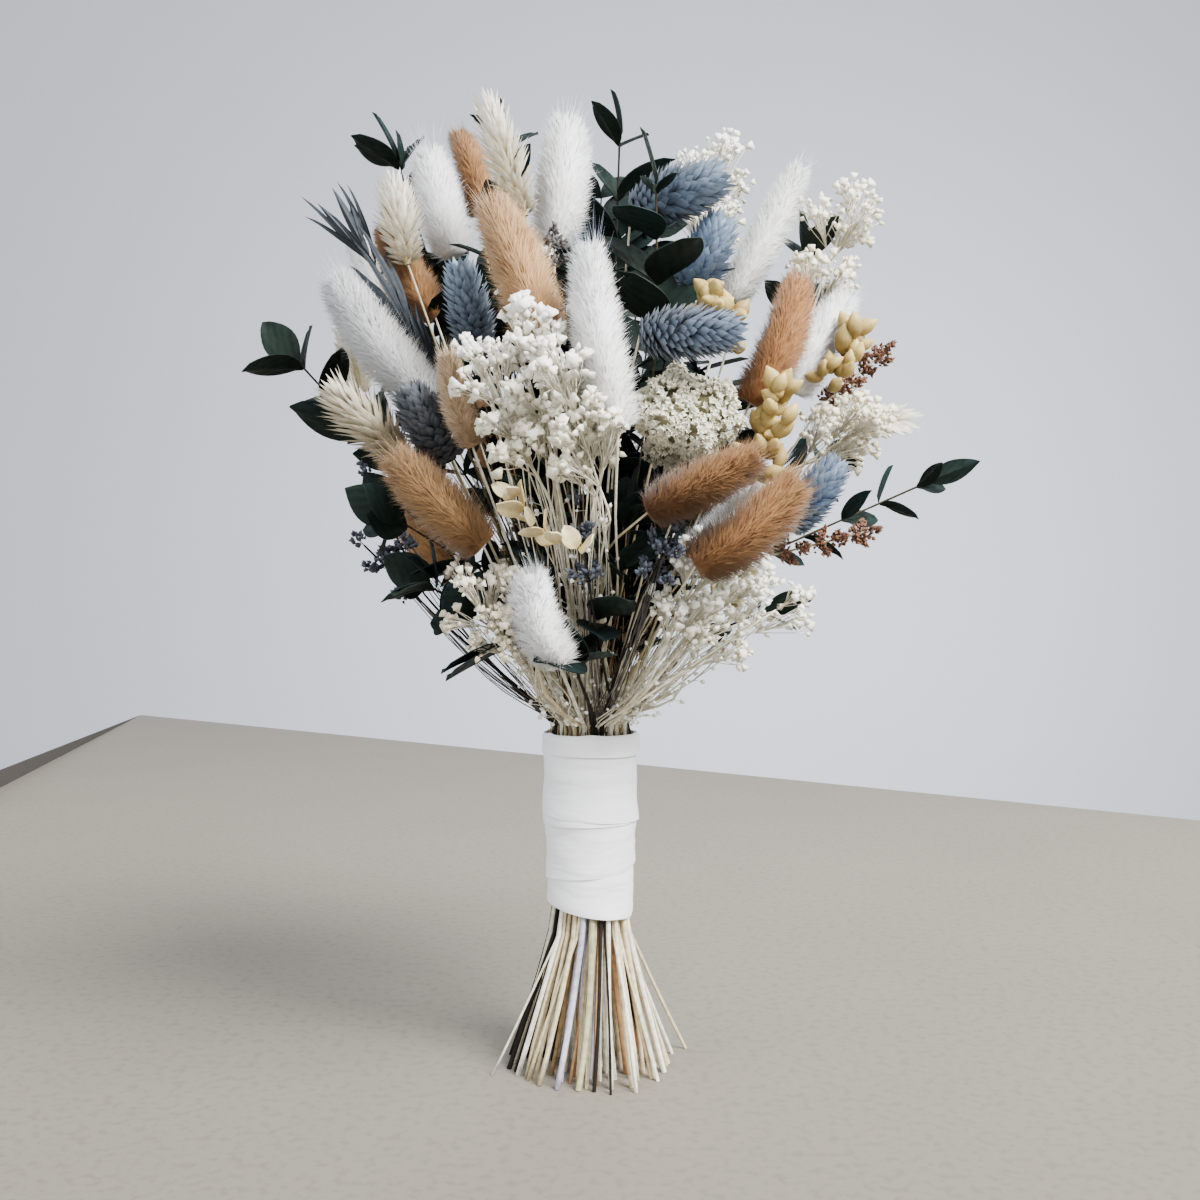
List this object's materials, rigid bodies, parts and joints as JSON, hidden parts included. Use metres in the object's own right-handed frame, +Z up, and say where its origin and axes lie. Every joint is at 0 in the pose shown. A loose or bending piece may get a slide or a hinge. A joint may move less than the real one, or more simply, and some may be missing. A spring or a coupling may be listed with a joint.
{
  "type": "bridal bouquet",
  "caption": "Dried bridal bouquet of fluffy grass tails, bracted heads, florets and dark leafy branches, its splayed stems bound with twine under a wound ribbon.",
  "frame": {"origin": "centre of the middle stem's cut end, on the surface that the bouquet stands on", "axes": "+Z up along the bundle of stems, -Y to the front of the bouquet, +X to the right as seen from the front"},
  "size_m": [0.2451, 0.1759, 0.3506],
  "materials": {
    "tan_flower": "dyed fluffy grass",
    "white_flower": "bleached fluffy grass",
    "blue_flower": "dyed dry bracts",
    "ivory_flower": "bleached dry bracts",
    "white_floret": "bleached dry florets",
    "beige_pod": "dry pods",
    "rust_grain": "dry grain",
    "blue_bud": "dyed dry buds",
    "grey_seed": "dry seeds",
    "dark_leaf": "preserved leaves, satin",
    "ribbon_cloth": "satin",
    "twine": "twisted fibre"
  },
  "bodies": {
    "root": {"tan_tail_1": "tan_flower", "tan_tail_2": "tan_flower", "tan_tail_3": "tan_flower", "tan_tail_4": "tan_flower", "tan_tail_5": "tan_flower", "tan_tail_6": "tan_flower", "tan_tail_pair": "tan_flower", "white_tail_1": "white_flower", "white_tail_2": "white_flower", "white_tail_3": "white_flower", "white_tail_4": "white_flower", "white_tail_5": "white_flower", "white_tail_6": "white_flower", "white_tail_7": "white_flower", "white_tail_8": "white_flower", "white_tail_9": "white_flower", "blue_head_1": "blue_flower", "blue_head_2": "blue_flower", "blue_head_3": "blue_flower", "blue_head_4": "blue_flower", "blue_head_5": "blue_flower", "blue_head_6": "blue_flower", "ivory_head_1": "ivory_flower", "ivory_head_2": "ivory_flower", "ivory_head_3": "ivory_flower", "ivory_head_5": "ivory_flower", "ivory_head_pair": "ivory_flower", "ivory_dome_1": "ivory_flower", "beige_pods_1": "beige_pod", "beige_pods_2": "beige_pod", "beige_pods_3": "beige_pod", "rust_sprigs": "rust_grain", "blue_bud_sprig_1": "blue_bud", "blue_bud_sprig_2": "blue_bud", "grey_seed_head": "grey_seed", "grey_blade_leaves": "dark_leaf", "leafy_branch_1": "dark_leaf", "leafy_branch_2": "dark_leaf", "leafy_branch_3": "dark_leaf", "leafy_branch_4": "dark_leaf", "leafy_branch_5": "dark_leaf", "leafy_branch_6": "dark_leaf", "leafy_branch_7": "dark_leaf", "leafy_branch_8": "dark_leaf", "leafy_branch_9": "dark_leaf", "white_floret_spray_1": "white_floret", "white_floret_spray_2": "white_floret", "white_floret_spray_3": "white_floret", "white_floret_spray_4": "white_floret", "back_tan_tails": "tan_flower", "back_white_tails": "white_flower", "back_blue_heads": "blue_flower", "back_ivory_heads": "ivory_flower", "back_leafy_branch_1": "dark_leaf", "back_leafy_branch_2": "dark_leaf", "back_floret_spray": "white_floret", "back_ivory_dome": "ivory_flower", "back_beige_pods": "beige_pod", "ribbon_wrap": "ribbon_cloth", "binding_twine": "twine"}
  },
  "joints": []
}
